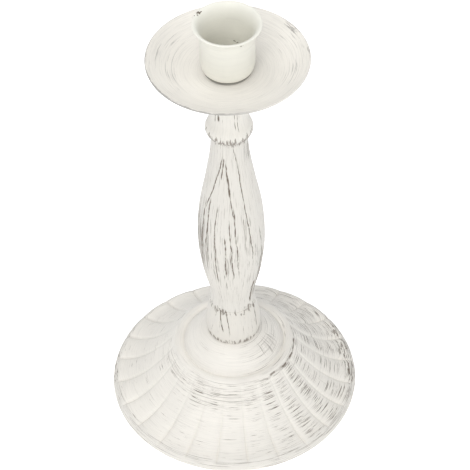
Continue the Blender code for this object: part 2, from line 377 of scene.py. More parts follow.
# Where a point lies on a turned piece: its distance from the axis, its angle from the front,
# its height, and its direction, which has no seam at the back.
turned_place, given, give = start_group(
    "turned place",
    [("Point", "Vector", None)],
    [("Radius", "Float"), ("Angle", "Float"), ("Height", "Float"), ("Direction", "Vector")],
)
split = turned_place.nodes.new("ShaderNodeSeparateXYZ")
feed(turned_place, split.inputs[0], given["Point"])
flat = combined(turned_place, split.outputs["X"], split.outputs["Y"], 0.0)
feed(turned_place, give["Radius"], work_vector(turned_place, "LENGTH", flat))
toward_front = work(turned_place, "MULTIPLY", split.outputs["Y"], -1.0)
feed(turned_place, give["Angle"], work(turned_place, "ARCTAN2", split.outputs["X"], toward_front))
feed(turned_place, give["Height"], split.outputs["Z"])
feed(turned_place, give["Direction"], work_vector(turned_place, "NORMALIZE", flat))

# Thin dry-brush strokes: stretched noise cut at a level, then broken up by finer bristle marks.
brush_strokes, given, give = start_group(
    "brush strokes",
    [("Stroke Space", "Vector", None), ("Coverage", "Float", 0.3), ("Softness", "Float", 0.08)],
    [("Strokes", "Float")],
)
long_marks = speckle(brush_strokes, given["Stroke Space"], 1.0, 3.0, 0.62, 0.15)
cut = work(brush_strokes, "MULTIPLY_ADD", given["Coverage"], -0.30, 0.70)
cut_end = work(brush_strokes, "ADD", cut, given["Softness"])
strokes = smooth_step(brush_strokes, long_marks, cut, cut_end)
bristles = speckle(brush_strokes, scaled(brush_strokes, given["Stroke Space"], 2.7), 1.0, 2.0, 0.6)
broken = smooth_step(brush_strokes, bristles, 0.36, 0.56, 0.35, 1.0)
feed(brush_strokes, give["Strokes"], work(brush_strokes, "MULTIPLY", strokes, broken))

# One long stroke between two (angle, height) places. It thins out towards both ends.
brush_line, given, give = start_group(
    "brush line",
    [
        ("Swayed Angle", "Float", None),
        ("Height", "Float", None),
        ("Thickness", "Float", 70.0),
        ("Start Height", "Float", 0.0),
        ("End Height", "Float", 0.0),
        ("Start Angle", "Float", 0.0),
        ("Swing", "Float", 0.0),
        ("Width", "Float", 0.0003),
    ],
    [("Line", "Float")],
)
run = brush_line.nodes.new("ShaderNodeMapRange")
feed(brush_line, run.inputs["Value"], given["Height"])
feed(brush_line, run.inputs["From Min"], given["Start Height"])
feed(brush_line, run.inputs["From Max"], given["End Height"])
run = run.outputs["Result"]
middle = work(brush_line, "MULTIPLY_ADD", run, given["Swing"], given["Start Angle"])
away = work(brush_line, "SUBTRACT", given["Swayed Angle"], middle)
away = work(brush_line, "ABSOLUTE", away)
half_width = work(brush_line, "MULTIPLY", given["Width"], given["Thickness"])
line = smooth_step(brush_line, away, half_width, work(brush_line, "MULTIPLY", half_width, 0.3))
tapered = work(brush_line, "MULTIPLY", run, work(brush_line, "SUBTRACT", 1.0, run))
tapered = work(brush_line, "MULTIPLY", tapered, 9.0, clamp=True)
feed(brush_line, give["Line"], work(brush_line, "MULTIPLY", line, tapered))

# Rows of short upright nicks where paint has broken away along the crease between two pieces.
crease_nicks, given, give = start_group(
    "crease nicks",
    [
        ("Direction", "Vector", None),
        ("Radius", "Float", None),
        ("Height", "Float", None),
        ("Crease", "Float", 0.0),
        ("Above", "Float", 0.002),
        ("Below", "Float", 0.002),
        ("Spacing", "Float", 0.0016),
        ("Coverage", "Float", 0.5),
    ],
    [("Nicks", "Float")],
)
round_way = scaled(
    crease_nicks,
    given["Direction"],
    work(crease_nicks, "DIVIDE", given["Radius"], given["Spacing"]),
)
upright = work(crease_nicks, "MULTIPLY", given["Height"], 110.0)
upright = combined(crease_nicks, 0.0, 0.0, upright)
nick_space = work_vector(crease_nicks, "ADD", round_way, upright)
nick_noise = speckle(crease_nicks, nick_space, 1.0, 2.0, 0.6)
nick_cut = work(crease_nicks, "MULTIPLY_ADD", given["Coverage"], -0.30, 0.70)
nick_marks = smooth_step(
    crease_nicks, nick_noise, nick_cut, work(crease_nicks, "ADD", nick_cut, 0.07)
)
reach_noise = speckle(crease_nicks, scaled(crease_nicks, round_way, 0.8), 1.0, 2.0)
reach = smooth_step(crease_nicks, reach_noise, 0.32, 0.68, 0.35, 1.25)
off = work(crease_nicks, "SUBTRACT", given["Height"], given["Crease"])
above = work(crease_nicks, "DIVIDE", off, work(crease_nicks, "MULTIPLY", given["Above"], reach))
below = work(crease_nicks, "DIVIDE", off, work(crease_nicks, "MULTIPLY", given["Below"], reach))
nick_marks = work(
    crease_nicks, "MULTIPLY", nick_marks, smooth_step(crease_nicks, above, 1.0, 0.75)
)
nick_marks = work(
    crease_nicks, "MULTIPLY", nick_marks, smooth_step(crease_nicks, below, -1.0, -0.75)
)
feed(crease_nicks, give["Nicks"], nick_marks)

# A soft-edged patch round one place, which says where strokes or wear gather.
soft_patch, given, give = start_group(
    "soft patch",
    [
        ("Angle", "Float", None),
        ("Level", "Float", None),
        ("Centre Angle", "Float", 0.0),
        ("Angle Reach", "Float", 0.3),
        ("Centre Level", "Float", 0.0),
        ("Level Reach", "Float", 0.01),
    ],
    [("Patch", "Float")],
)
turned_off = work(
    soft_patch,
    "WRAP",
    work(soft_patch, "SUBTRACT", given["Angle"], given["Centre Angle"]),
    math.pi,
    -math.pi,
)
sideways = work(soft_patch, "DIVIDE", turned_off, given["Angle Reach"])
upwards = work(
    soft_patch,
    "DIVIDE",
    work(soft_patch, "SUBTRACT", given["Level"], given["Centre Level"]),
    given["Level Reach"],
)
distance = work_vector(soft_patch, "LENGTH", combined(soft_patch, sideways, upwards, 0.0))
feed(soft_patch, give["Patch"], smooth_step(soft_patch, distance, 1.0, 0.35))

# The finished paint film: cream that varies a little, toned grey for painted shade in the hollows,
# with strokes and bare spots of the dark undercoat, whose colour also paints the darkest shade,
# and the relief that brush and chips leave.
paint_film, given, give = start_group(
    "paint film",
    [
        ("Point", "Vector", None),
        ("Brush Lines", "Float", 0.5),
        ("Strokes", "Float", 0.0),
        ("Bare", "Float", 0.0),
        ("Toned", "Float", 0.0),
        ("Cream", "Color", (0.845, 0.812, 0.757, 1.0)),
        ("Tone", "Color", (0.60, 0.585, 0.55, 1.0)),
        ("Undercoat", "Color", (0.12, 0.088, 0.062, 1.0)),
        ("Sheen", "Float", 0.5),
    ],
    [("Colour", "Color"), ("Roughness", "Float"), ("Relief", "Float")],
)
clouds = speckle(paint_film, given["Point"], 55.0, 3.0, 0.55)
clouded = smooth_step(paint_film, clouds, 0.35, 0.7, 0.0, 0.12)
# Painted shade from the piece, with random clouding, tones the cream grey.
toned = work(paint_film, "ADD", given["Toned"], clouded, clamp=True)
colour = blend_colour(paint_film, toned, given["Cream"], given["Tone"])
fine_lines = smooth_step(paint_film, given["Brush Lines"], 0.46, 0.68, 0.0, 0.34)
colour = blend_colour(paint_film, fine_lines, colour, given["Tone"])
thin = work(paint_film, "MULTIPLY", given["Strokes"], 0.95, clamp=True)
colour = blend_colour(paint_film, thin, colour, given["Undercoat"])
# The bare mask takes the undercoat's colour, and a piece may put painted shade in it too.
bare_and_shade = work(paint_film, "MULTIPLY", given["Bare"], 0.92, clamp=True)
colour = blend_colour(paint_film, bare_and_shade, colour, given["Undercoat"])
feed(paint_film, give["Colour"], colour)
dull = work(paint_film, "MAXIMUM", thin, bare_and_shade)
roughness = work(paint_film, "MULTIPLY_ADD", dull, 0.22, given["Sheen"])
roughness = work(
    paint_film, "MULTIPLY_ADD", work(paint_film, "SUBTRACT", clouds, 0.5), 0.18, roughness
)
feed(paint_film, give["Roughness"], roughness)
orange_peel = speckle(paint_film, given["Point"], 900.0, 2.0, 0.5)
relief = work(paint_film, "MULTIPLY", given["Brush Lines"], 0.5)
relief = work(paint_film, "MULTIPLY_ADD", orange_peel, 0.12, relief)
relief = work(paint_film, "MULTIPLY_ADD", thin, -0.25, relief)
relief = work(paint_film, "MULTIPLY_ADD", bare_and_shade, -0.6, relief)
feed(paint_film, give["Relief"], relief)


def start_paint(name):
    """A new material, its tree, its shader, and where each point lies on its turned piece."""
    material = bpy.data.materials.new(name)
    material.use_nodes = True
    tree = material.node_tree
    shader = tree.nodes["Principled BSDF"]
    point = tree.nodes.new("ShaderNodeTexCoord").outputs["Object"]
    return material, tree, shader, point, place_group(tree, turned_place, Point=point)


def round_space(tree, point, place, length, width):
    """The space for strokes that run round the piece, of about this length and width."""
    split = tree.nodes.new("ShaderNodeSeparateXYZ")
    feed(tree, split.inputs[0], point)
    down_slope = work(tree, "SUBTRACT", place["Radius"], place["Height"])
    return combined(
        tree,
        work(tree, "DIVIDE", split.outputs["X"], length),
        work(tree, "DIVIDE", split.outputs["Y"], length),
        work(tree, "DIVIDE", down_slope, width),
    )


def upright_space(tree, place, radius, length, width):
    """The space for strokes that run up and down the piece, of about this length and width."""
    return work_vector(
        tree,
        "ADD",
        scaled(tree, place["Direction"], radius / width),
        combined(tree, 0.0, 0.0, work(tree, "DIVIDE", place["Height"], length)),
    )


def strokes_in(tree, space, coverage, softness=0.08):
    """A mask of dry-brush strokes in one of the spaces above."""
    made = place_group(
        tree, brush_strokes, Stroke_Space=space, Coverage=coverage, Softness=softness
    )
    return made["Strokes"]


def most(tree, *masks):
    """The strongest of several masks at each point."""
    strongest = masks[0]
    for mask in masks[1:]:
        strongest = work(tree, "MAXIMUM", strongest, mask)
    return strongest


def patch(tree, place, level, angle, angle_reach, centre, reach):
    """A soft patch at an angle in degrees from the front and a level in millimetres."""
    made = place_group(
        tree,
        soft_patch,
        Angle=place["Angle"],
        Level=level,
        Centre_Angle=math.radians(angle),
        Angle_Reach=math.radians(angle_reach),
        Centre_Level=centre / 1000,
        Level_Reach=reach / 1000,
    )
    return made["Patch"]


def long_strokes(tree, place, *strokes):
    """Long strokes, each from one (degrees from the front, height in mm) to another, with a
    width in mm. They share one sway, one swelling and one set of breaks."""
    sway_space = combined(
        tree,
        work(tree, "MULTIPLY", place["Height"], 75.0),
        work(tree, "MULTIPLY", place["Angle"], 3.0),
        0.0,
    )
    sway = work(tree, "SUBTRACT", speckle(tree, sway_space, 1.0, 3.0), 0.5)
    swayed = work(tree, "MULTIPLY_ADD", sway, 0.14, place["Angle"])
    fade_space = combined(
        tree,
        work(tree, "MULTIPLY", place["Height"], 330.0),
        work(tree, "MULTIPLY", place["Angle"], 24.0),
        4.0,
    )
    fade = speckle(tree, fade_space, 1.0, 2.0)
    swelling = smooth_step(tree, fade, 0.3, 0.7, 0.6, 1.5)
    thickness = work(tree, "DIVIDE", swelling, place["Radius"])
    masks = []
    for start, end, width in strokes:
        made = place_group(
            tree,
            brush_line,
            Swayed_Angle=swayed,
            Height=place["Height"],
            Thickness=thickness,
            Start_Height=start[1] / 1000,
            End_Height=end[1] / 1000,
            Start_Angle=math.radians(start[0]),
            Swing=math.radians(end[0] - start[0]),
            Width=width / 1000,
        )
        masks.append(made["Line"])
    unbroken = smooth_step(tree, fade, 0.36, 0.52, 0.4, 1.0)
    return work(tree, "MULTIPLY", most(tree, *masks), unbroken)


def lay_paint(tree, shader, point, brush_lines, strokes, bare_and_shade, toned, sheen, depth, **colours):
    """Feeds the paint film to the shader, with its relief this many metres deep."""
    film = place_group(
        tree,
        paint_film,
        Point=point,
        Brush_Lines=brush_lines,
        Strokes=strokes,
        Bare=bare_and_shade,
        # The toning is painted shade, and the bare mask can carry painted shade as well.
        Toned=toned,
        Sheen=sheen,
        **colours,
    )
    bump = tree.nodes.new("ShaderNodeBump")
    bump.inputs["Strength"].default_value = 1.0
    bump.inputs["Distance"].default_value = depth
    feed(tree, bump.inputs["Height"], film["Relief"])
    feed(tree, shader.inputs["Base Color"], film["Colour"])
    feed(tree, shader.inputs["Roughness"], film["Roughness"])
    feed(tree, shader.inputs["Normal"], bump.outputs["Normal"])
    shader.inputs["Specular IOR Level"].default_value = 0.35


# On the foot the strokes run round it. They catch on the flutes' crests, miss the grooves and
# the underside, and gather below the collar and down the right side. The rim is rubbed bare at
# the right, and the crease outside the collar is cracked dark there.
foot_paint, tree, shader, point, place = start_paint("brushed_cream_foot")
flutes_round = work(tree, "MULTIPLY", place["Angle"], flute_count / math.tau)
flutes_round = work(tree, "SUBTRACT", flutes_round, foot_turn / math.tau * flute_count)
off_crest = work(tree, "PINGPONG", flutes_round, 0.5)
on_crest = smooth_step(tree, off_crest, 0.05, 0.36)
right_side = patch(tree, place, place["Radius"], 90, 105, 46, 42)
below_collar = patch(tree, place, place["Radius"], -12, 90, 32, 8)
coverage = work(tree, "MULTIPLY_ADD", right_side, 0.32, 0.23)
coverage = work(tree, "MULTIPLY_ADD", below_collar, 0.20, coverage)
on_lobes = smooth_step(tree, place["Radius"], collar_outer - 0.0004, collar_outer + 0.0010)
dashes = strokes_in(tree, round_space(tree, point, place, 0.0120, 0.00050), coverage)
above_table = smooth_step(tree, place["Height"], 0.0033, 0.0046)
caught = work(tree, "MULTIPLY", work(tree, "MULTIPLY", on_lobes, on_crest), above_table)
dashes = work(tree, "MULTIPLY", dashes, caught)
ring_gather = most(
    tree,
    patch(tree, place, place["Radius"], 75, 95, 22, 16),
    patch(tree, place, place["Radius"], -20, 110, 31, 6),
    patch(tree, place, place["Radius"], 150, 70, 46, 26),
    smooth_step(tree, place["Radius"], 0.0530, 0.0560),
)
ring_cover = work(tree, "MULTIPLY_ADD", ring_gather, 0.38, 0.14)
ring_space = round_space(tree, point, place, 0.022, 0.00045)
rings = strokes_in(tree, ring_space, ring_cover, 0.10)
rings = work(tree, "MULTIPLY", rings, 0.66)
crease_radius = 0.0283
crook = work(tree, "MULTIPLY_ADD", speckle(tree, point, 160.0, 3.0), 0.0022, -0.0011)
from_crease = work(tree, "SUBTRACT", work(tree, "ADD", place["Radius"], crook), crease_radius)
from_crease = work(tree, "ABSOLUTE", from_crease)
collar_crack = work(
    tree,
    "MULTIPLY",
    smooth_step(tree, from_crease, 0.00046, 0.00006, 0.0, 0.95),
    patch(tree, place, place["Radius"], 66, 56, crease_radius * 1000, 4.0),
)
collar_crack = work(
    tree,
    "MULTIPLY",
    collar_crack,
    smooth_step(tree, speckle(tree, point, 330.0, 2.0), 0.34, 0.52, 0.35, 1.0),
)
dome_rub_gather = patch(tree, place, place["Radius"], 62, 30, 18.0, 6.5)
dome_rub_gather = work(tree, "MULTIPLY", dome_rub_gather, above_table)
rub_space = upright_space(tree, place, 0.018, 0.010, 0.0006)
dome_rub = strokes_in(tree, rub_space, work(tree, "MULTIPLY", dome_rub_gather, 0.78), 0.25)
foot_strokes = most(tree, dashes, rings, collar_crack, dome_rub)
rim_gather = most(
    tree,
    patch(tree, place, place["Radius"], 103, 42, 56.5, 8.5),
    patch(tree, place, place["Radius"], -94, 22, 57.5, 3.4),
    patch(tree, place, place["Radius"], -128, 15, 31.2, 2.6),
)
rim_space = round_space(tree, point, place, 0.0036, 0.0009)
rim_rub = strokes_in(tree, rim_space, work(tree, "MULTIPLY", rim_gather, 0.76), 0.16)
foot_bare = work(tree, "MULTIPLY", rim_rub, smooth_step(tree, off_crest, 0.0, 0.12, 0.35, 1.0))
brushed = speckle(tree, ring_space, 1.6, 3.0, 0.65)
# Painted shade: the grooves on the left side are toned grey. The rim band is toned grey all round.
in_groove = work(tree, "MULTIPLY", smooth_step(tree, off_crest, 0.07, 0.0), on_lobes)
left_side = patch(tree, place, place["Radius"], -120, 105, 43, 60)
groove_shade_and_rim_tone = work(tree, "MULTIPLY", in_groove, work(tree, "MULTIPLY", left_side, 0.26))
on_rim = smooth_step(tree, place["Radius"], 0.0545, 0.0565, 0.0, 0.30)
groove_shade_and_rim_tone = work(tree, "MAXIMUM", groove_shade_and_rim_tone, on_rim)
lay_paint(
    tree, shader, point, brushed, foot_strokes, foot_bare, groove_shade_and_rim_tone, sheen=0.50, depth=0.00022
)
foot.data.materials.append(foot_paint)

# --- Lower bead -------------------------------------------------------------------------------
# A pear-shaped bead of turned wood between foot and stem. A spigot under it sits in the foot's
# socket, and a socket above takes the stem's. Paint has broken off in nicks at both creases.
spigot_length = 0.0035
wide_spigot = 0.0070
paint_bridge = 0.00024


def turned_outline(node, curve, spigot, socket, steps=10):
    """The outline of a turned piece with a smooth curved side, from its underside up and back.

    The curve is a list of (share of height, radius). The CAD node gives the heights, and the
    spigot under the piece is part of that node's box. Its shoulder comes down by the thickness
    of the paint that bridges the joint, so that no open gap shows there.
    """
    low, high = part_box(node)
    bottom = low.z + spigot_length
    height = high.z - bottom
    ends = [curve[0], *curve, curve[-1]]
    side = []
    for before, start, end, after in zip(ends, ends[1:], ends[2:], ends[3:]):
        span = end[0] - start[0]
        leave = (end[1] - before[1]) / (end[0] - before[0]) * span
        arrive = (after[1] - start[1]) / (after[0] - start[0]) * span
        for i in range(steps):
            t = i / steps
            radius = (
                (2 * t**3 - 3 * t**2 + 1) * start[1]
                + (t**3 - 2 * t**2 + t) * leave
                + (3 * t**2 - 2 * t**3) * end[1]
                + (t**3 - t**2) * arrive
            )
            side.append((radius, bottom + (start[0] + span * t) * height))
    side.append((curve[-1][1], high.z))
    eased = 0.00035
    shoulder = bottom - paint_bridge
    outline = [(rod_hole, low.z), (spigot, low.z), (spigot, shoulder)]
    outline += round_corner((spigot, shoulder), (side[0][0], shoulder), side[2], eased)
    outline += side[2:-2]
    outline += round_corner(side[-3], side[-1], (rod_hole, high.z), eased)
    if socket:
        wall = socket + 0.0004
        outline += [(wall, high.z), (wall, high.z - socket_depth)]
        outline += [(rod_hole, high.z - socket_depth)]
    else:
        outline += [(rod_hole, high.z)]
    return outline


bead_curve = [(0.0, 0.0121), (0.22, 0.01275), (0.5, 0.0123), (0.8, 0.0112), (1.0, 0.0102)]
lower_bead = finish_piece(
    spin_shape(turned_outline("lower_bead", bead_curve, wide_spigot, wide_spigot), 128),
    "painted_lower_bead",
    "lower_bead",
)
stem_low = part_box("stem")[0].z + spigot_length
bead_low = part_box("lower_bead")[0].z + spigot_length


def nicks(tree, place, crease, above, below, spacing, coverage):
    """Nicks along the crease at this height, with sizes in metres."""
    made = place_group(
        tree,
        crease_nicks,
        Direction=place["Direction"],
        Radius=place["Radius"],
        Height=place["Height"],
        Crease=crease,
        Above=above,
        Below=below,
        Spacing=spacing,
        Coverage=coverage,
    )
    return made["Nicks"]


bead_paint, tree, shader, point, place = start_paint("brushed_cream_lower_bead")
top_nicks = nicks(tree, place, stem_low, 0.002, 0.0028, 0.0009, 0.66)
foot_nicks = nicks(tree, place, bead_low, 0.0030, 0.001, 0.0010, 0.70)
drips = long_strokes(
    tree,
    place,
    ((-36, 59), (-23, 45), 0.34),
    ((-20, 59), (-6, 44), 0.30),
    ((65, 58), (58, 44), 0.34),
)
faint_space = upright_space(tree, place, 0.012, 0.008, 0.0008)
faint = strokes_in(tree, faint_space, 0.28)
faint = work(tree, "MULTIPLY", faint, 0.5)
brushed = speckle(tree, faint_space, 1.5, 3.0, 0.65)
# The grey toning over the lowest 1.2 mm, where the bead meets the foot, is painted shade in the
# crease.
lay_paint(
    tree,
    shader,
    point,
    brushed,
    most(tree, drips, faint),
    work(tree, "MULTIPLY", most(tree, top_nicks, foot_nicks), 0.7),
    smooth_step(tree, place["Height"], bead_low + 0.0012, bead_low, 0.0, 0.3),
    sheen=0.50,
    depth=0.00018,
    Cream=(0.705, 0.675, 0.622, 1.0),
)
lower_bead.data.materials.append(bead_paint)

# --- Stem -------------------------------------------------------------------------------------
# The baluster stem is turned from one piece of wood, widest a little below its middle, and sits
# on the lower bead by a spigot. Long dark strokes fan down its front from the top, with fine
# upright streaks lower down.
narrow_spigot = 0.0052
stem_curve = [
    (0.0, 0.0104),
    (0.07, 0.0102),
    (0.205, 0.0131),
    (0.38, 0.0150),
    (0.575, 0.0141),
    (0.76, 0.0108),
    (0.89, 0.0087),
    (0.96, 0.0081),
    (1.0, 0.0080),
]
stem = finish_piece(
    spin_shape(turned_outline("stem", stem_curve, wide_spigot, narrow_spigot), 144),
    "painted_stem",
    "stem",
)
stem_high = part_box("stem")[1].z
stem_paint, tree, shader, point, place = start_paint("brushed_cream_stem")
fanned = long_strokes(
    tree,
    place,
    ((-14, 152), (7, 119), 0.29),
    ((-11, 150), (0, 132), 0.30),
    ((5, 128), (12.5, 85), 0.28),
    ((6, 164), (24, 145), 0.18),
    ((22, 152), (41, 88), 0.28),
    ((-22, 154), (-58, 121), 0.32),
    ((-57, 129), (-64, 84), 0.36),
    ((-19, 153), (-23, 141), 0.40),
    ((-46, 130), (-49, 99), 0.38),
    ((-27, 127), (-33, 100), 0.28),
    ((-31, 109), (-28, 78), 0.30),
    ((-4, 121), (2, 82), 0.32),
    ((-12, 112), (-10, 84), 0.34),
    ((50, 77), (53, 60), 0.80),
    ((70, 96), (74, 62), 0.50),
    ((58, 112), (64, 78), 0.30),
    ((62, 84), (65, 62), 0.60),
    ((-76, 118), (-80, 88), 0.50),
)
low_gather = patch(tree, place, place["Height"], -20, 120, 103, 38)
left_gather = patch(tree, place, place["Height"], -72, 40, 102, 30)
streak_cover = work(tree, "MULTIPLY_ADD", low_gather, 0.28, 0.16)
streak_cover = work(tree, "MULTIPLY_ADD", left_gather, 0.34, streak_cover)
right_gather = most(
    tree,
    patch(tree, place, place["Height"], 82, 46, 80, 36),
    patch(tree, place, place["Height"], 80, 40, 153, 9),
)
streak_cover = work(tree, "MULTIPLY_ADD", right_gather, 0.42, streak_cover)
streak_space = upright_space(tree, place, 0.0135, 0.018, 0.00052)
streaks = strokes_in(tree, streak_space, streak_cover, 0.07)
clear_front = patch(tree, place, place["Height"], -9, 26, 128, 17)
streaks = work(tree, "MULTIPLY", streaks, work(tree, "SUBTRACT", 1.0, clear_front))
fine_space = upright_space(tree, place, 0.0135, 0.012, 0.00042)
fine = strokes_in(tree, fine_space, 0.42)
fine = work(tree, "MULTIPLY", fine, 0.36)
stem_nicks = most(
    tree,
    nicks(tree, place, stem_low, 0.0022, 0.001, 0.0009, 0.5),
    nicks(tree, place, stem_high, 0.001, 0.0020, 0.0009, 0.6),
)
stem_nicks = work(tree, "MULTIPLY", stem_nicks, 0.7)
brushed = speckle(tree, fine_space, 1.3, 3.0, 0.65)
# The grey toning on both sides, where the streaks gather, is painted shade on the sides that turn
# away from the front.
lay_paint(
    tree,
    shader,
    point,
    brushed,
    most(tree, fanned, streaks, fine),
    stem_nicks,
    work(tree, "MULTIPLY", most(tree, left_gather, right_gather), 0.35),
    sheen=0.50,
    depth=0.00018,
    Cream=(0.715, 0.688, 0.640, 1.0),
)
stem.data.materials.append(stem_paint)

# --- Neck -------------------------------------------------------------------------------------
# The neck is one turned piece of wood: a round bead at its foot, a waist, and a wide top that
# carries the drip pan. It sits on the stem by a spigot. Nicks run round the crease under the bead.
neck_curve = [
    (0.0, 0.0088),
    (0.04, 0.0099),
    (0.105, 0.0104),
    (0.17, 0.0098),
    (0.23, 0.0088),
    (0.30, 0.0081),
    (0.42, 0.0079),
    (0.65, 0.0087),
    (0.88, 0.0114),
    (1.0, 0.0130),
]
neck = finish_piece(
    spin_shape(turned_outline("pan_neck", neck_curve, narrow_spigot, 0.0), 128),
    "painted_neck",
    "pan_neck",
)
neck_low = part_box("pan_neck")[0].z + spigot_length
neck_paint, tree, shader, point, place = start_paint("brushed_cream_neck")
bead_nicks = nicks(tree, place, neck_low, 0.0050, 0.002, 0.0008, 0.94)
bead_nicks = work(tree, "MULTIPLY", bead_nicks, 0.74)
marks = long_strokes(
    tree,
    place,
    ((-47, 180), (-48, 172), 0.34),
    ((-35, 180), (-34, 173), 0.60),
    ((15, 182), (19, 169), 0.18),
    ((24, 182), (29, 168), 0.20),
)
faint_space = upright_space(tree, place, 0.009, 0.009, 0.0007)
faint = strokes_in(tree, faint_space, 0.20)
faint = work(tree, "MULTIPLY", faint, 0.4)
brushed = speckle(tree, faint_space, 1.5, 3.0, 0.65)
# The grey toning over the lowest 5 mm, under the neck's bead, is painted shade in the crease above
# the stem.
lay_paint(
    tree,
    shader,
    point,
    brushed,
    most(tree, marks, faint),
    bead_nicks,
    smooth_step(tree, place["Height"], neck_low + 0.005, neck_low, 0.0, 0.42),
    sheen=0.48,
    depth=0.00018,
    Cream=(0.775, 0.748, 0.696, 1.0),
)
neck.data.materials.append(neck_paint)

# --- Drip pan ---------------------------------------------------------------------------------
# A thin dish spun from sheet metal, flat in the middle and swept up to a bare-worn edge. It is
# clamped on the neck by the rod, and is painted in rings.
pan_low, pan_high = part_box("drip_pan")
pan_wall = 0.0009
pan_depth = 0.0065
pan_sweep = 1.7
pan_floor_radius = 0.0135
pan_edge = pan_high.x - pan_wall / 2
pan_upper = []
for i in range(31):
    t = i / 30
    pan_upper.append(
        (
            pan_floor_radius + (pan_edge - pan_floor_radius) * t,
            pan_low.z + pan_wall + pan_depth * t**pan_sweep,
        )
    )
pan_lower = [(radius, height - pan_wall) for radius, height in pan_upper]
pan_round = []
for i in range(1, 8):
    turn = math.radians(90 - 180 * i / 8)
    pan_round.append(
        (
            pan_edge + pan_wall / 2 * math.cos(turn),
            pan_upper[-1][1] - pan_wall / 2 + pan_wall / 2 * math.sin(turn),
        )
    )
pan_outline = [*pan_upper, *pan_round, *reversed(pan_lower), (rod_hole, pan_low.z)]
pan_outline += [(rod_hole, pan_low.z + pan_wall)]
pan = finish_piece(
    spin_shape(pan_outline, 192), "painted_pan", "drip_pan"
)
pan_paint, tree, shader, point, place = start_paint("brushed_cream_pan")
side_gather = most(
    tree,
    patch(tree, place, place["Radius"], -95, 60, 26, 10),
    patch(tree, place, place["Radius"], 105, 62, 28, 10),
)
ring_cover = work(tree, "MULTIPLY_ADD", side_gather, 0.34, 0.12)
ring_space = round_space(tree, point, place, 0.020, 0.00030)
rings = strokes_in(tree, ring_space, ring_cover)
rings = work(tree, "MULTIPLY", rings, 0.46)
edge_crook = work(tree, "MULTIPLY_ADD", speckle(tree, point, 210.0, 3.0, 0.6), 0.0016, -0.0008)
near_edge = work(tree, "ADD", place["Radius"], edge_crook)
edge_wear = smooth_step(tree, near_edge, pan_high.x - 0.00060, pan_high.x - 0.00025)
edge_front = patch(tree, place, place["Radius"], -42, 84, 34.5, 6.0)
edge_wear = work(
    tree, "MULTIPLY", edge_wear, work(tree, "MULTIPLY_ADD", edge_front, 0.52, 0.12)
)
# Painted shade: the floor under the cup's rim is darkened to the dark grey undercoat, as the shadow
# line under the cup.
painted_shade_under_cup = smooth_step(tree, place["Radius"], 0.0103, 0.0096, 0.0, 0.62)
back_right = most(
    tree,
    patch(tree, place, place["Radius"], 118, 26, 33.5, 5.0),
    patch(tree, place, place["Radius"], 96, 46, 34.8, 2.0),
)
rub_space = round_space(tree, point, place, 0.008, 0.0005)
rub = strokes_in(tree, rub_space, work(tree, "MULTIPLY", back_right, 0.72), 0.2)
brushed = speckle(tree, ring_space, 1.4, 3.0, 0.65)
# The grey toning round the cup is painted shade. The dark grey undercoat colour serves both the
# worn edge and the painted shadow under the cup.
lay_paint(
    tree,
    shader,
    point,
    brushed,
    rings,
    most(tree, edge_wear, work(tree, "MULTIPLY", rub, 0.7), painted_shade_under_cup),
    smooth_step(tree, place["Radius"], 0.016, 0.011, 0.0, 0.15),
    sheen=0.42,
    depth=0.00015,
    Cream=(0.862, 0.830, 0.775, 1.0),
    Undercoat=(0.11, 0.104, 0.100, 1.0),
)
pan.data.materials.append(pan_paint)

# --- Cup and its spacer -----------------------------------------------------------------------
# The candle cup is drawn from thin sheet, narrowed at the bottom and with a lip turned out. It
# stands on a small round spacer, so that a dark line shows under it, deepened by painted shade
# on the pan. Its paint is smooth, with a faint painted shade inside.
spacer_low, spacer_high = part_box("cup_spacer")
spacer_outline = [(rod_hole, spacer_low.z)]
spacer_outline += round_corner(
    (rod_hole, spacer_low.z), (spacer_high.x, spacer_low.z), (spacer_high.x, spacer_high.z), 0.0002
)
spacer_outline += round_corner(
    (spacer_high.x, spacer_low.z), (spacer_high.x, spacer_high.z), (rod_hole, spacer_high.z), 0.0002
)
spacer_outline += [(rod_hole, spacer_high.z)]
spacer = finish_piece(
    spin_shape(spacer_outline, 96), "painted_spacer", "cup_spacer"
)

cup_low, cup_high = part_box("candle_cup")
cup_wall = 0.0007
cup_radius = 0.0117
flare_width = 0.00255
flare_height = 0.0070
corner_width = 0.0016
corner_height = 0.0065


def arc(centre, radii, start, end, steps):
    """Points on an elliptical arc between two angles in degrees, 0 outwards and 90 up."""
    points = []
    for i in range(steps + 1):
        turn = math.radians(start + (end - start) * i / steps)
        points.append(
            (centre[0] + radii[0] * math.cos(turn), centre[1] + radii[1] * math.sin(turn))
        )
    return points


lip = cup_radius + flare_width
flare_middle = (lip, cup_high.z - cup_wall - flare_height)
corner = (cup_radius - corner_width, cup_low.z + corner_height)
cup_outline = [
    *arc(flare_middle, (flare_width + cup_wall, flare_height + cup_wall), 180, 90, 24),
    *arc((lip, cup_high.z - cup_wall / 2), (cup_wall / 2, cup_wall / 2), 70, -70, 7),
    *arc(flare_middle, (flare_width, flare_height), 90, 180, 24),
    *arc(corner, (corner_width, corner_height), 0, -90, 20),
    (rod_hole, cup_low.z),
    (rod_hole, cup_low.z + cup_wall),
    *arc(corner, (corner_width - cup_wall, corner_height - cup_wall), -90, 0, 20),
]
cup = finish_piece(
    spin_shape(cup_outline, 160), "painted_cup", "candle_cup"
)
cup_paint, tree, shader, point, place = start_paint("smooth_cream_cup")
chip_noise = speckle(tree, point, 520.0, 3.0, 0.6)
chip_gather = most(
    tree,
    patch(tree, place, place["Height"], 30, 14, 219.5, 2.6),
    patch(tree, place, place["Height"], 160, 12, 203.0, 1.6),
    patch(tree, place, place["Height"], -110, 34, 221.6, 1.0),
)
chip_cut = work(tree, "MULTIPLY_ADD", chip_gather, -0.36, 0.88)
chips = smooth_step(tree, chip_noise, chip_cut, work(tree, "ADD", chip_cut, 0.04))
faint_space = round_space(tree, point, place, 0.02, 0.0012)
